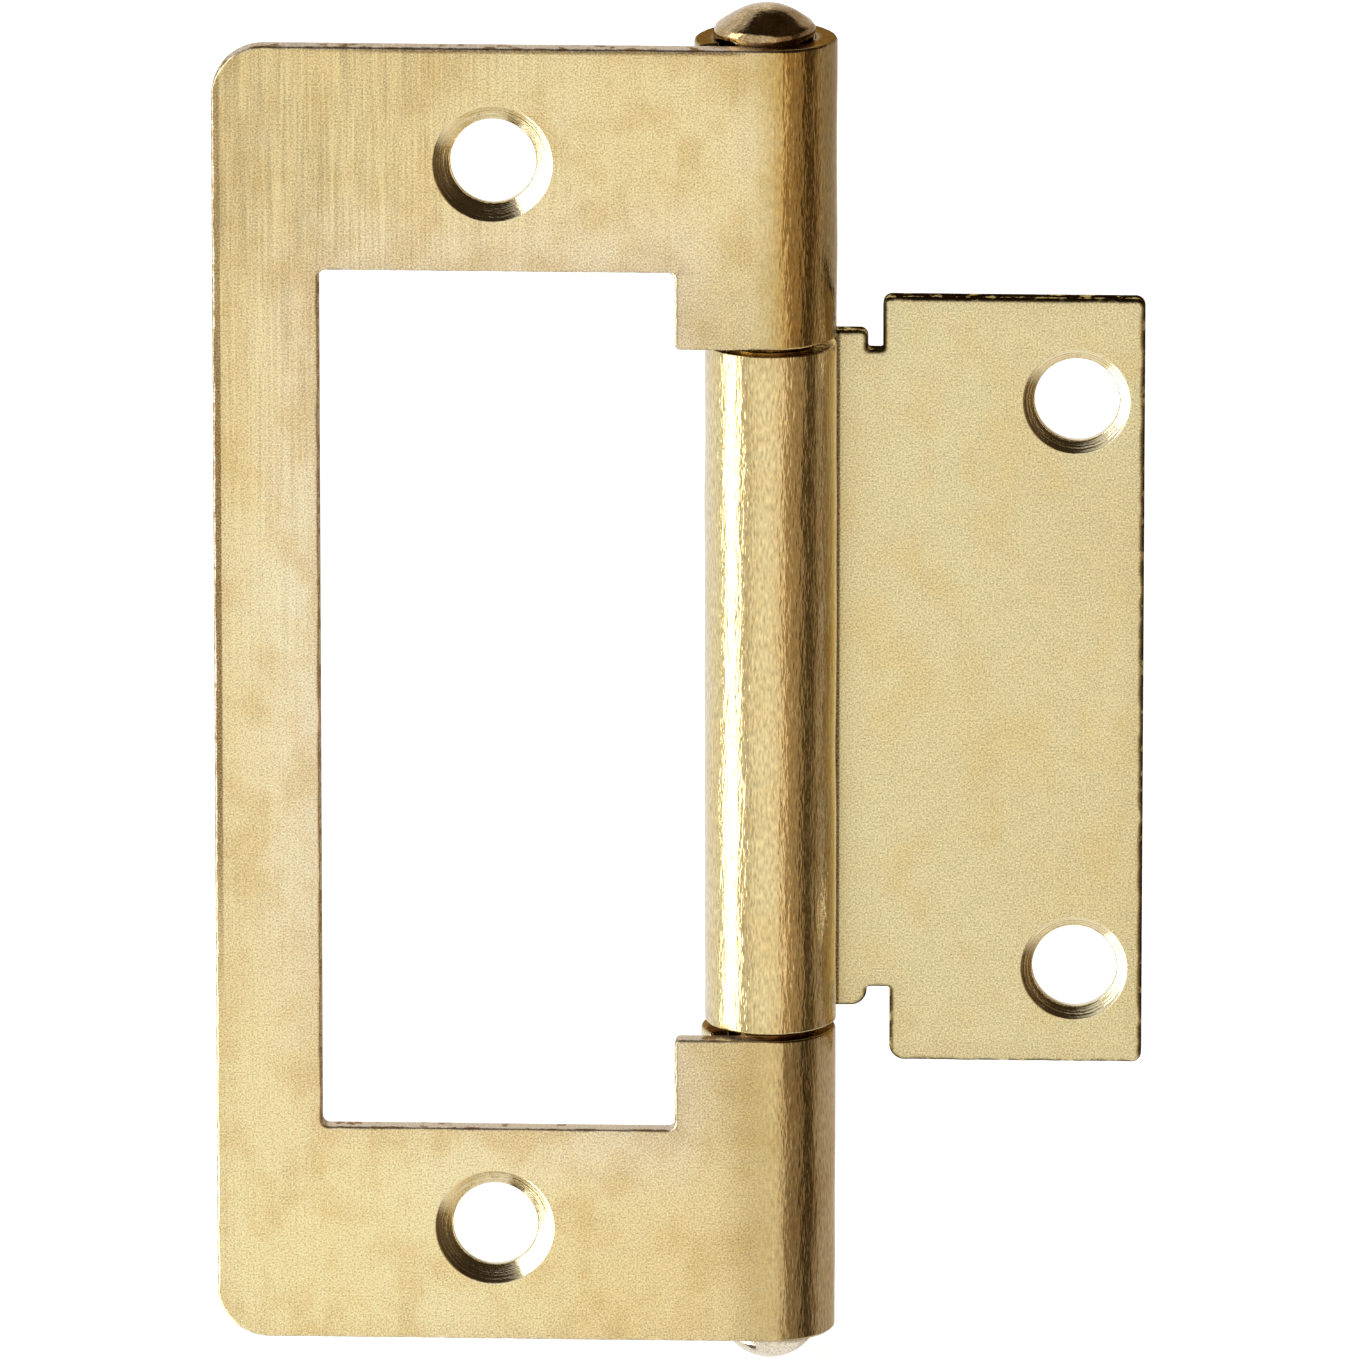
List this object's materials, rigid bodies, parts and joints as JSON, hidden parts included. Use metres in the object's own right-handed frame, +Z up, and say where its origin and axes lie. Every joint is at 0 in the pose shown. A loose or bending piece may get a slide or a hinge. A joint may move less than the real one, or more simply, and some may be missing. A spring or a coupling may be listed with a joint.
{
  "type": "louvre door hinge",
  "caption": "Flush hinge of brassed sheet steel: a small leaf nests in the window of a large one, both rolled round a riveted pin, with countersunk screw holes.",
  "frame": {"origin": "midway between the two screw holes of the frame leaf, on the back face that goes against the door frame", "axes": "+Z up along the pin towards its head, +Y out of the leaves' mounting faces, +X from the frame leaf towards the door leaf as it lies open"},
  "size_m": [0.052, 0.0074, 0.0787],
  "materials": {
    "frame_leaf_brass": "satin electro-brass over steel sheet",
    "door_leaf_brass": "satin electro-brass over steel sheet",
    "pin_brass": "bright electro-brass over steel"
  },
  "bodies": {
    "frame_side": {"frame_leaf": "frame_leaf_brass", "hinge_pin": "pin_brass"},
    "door_side": {"door_leaf": "door_leaf_brass"}
  },
  "joints": [
    {"name": "leaf_swing", "type": "hinge", "parent": "frame_side", "child": "door_side", "pos_m": [0.0154, 0.0025, 0], "axis": [0, 0, 1], "range_deg": [-180, 90]}
  ]
}
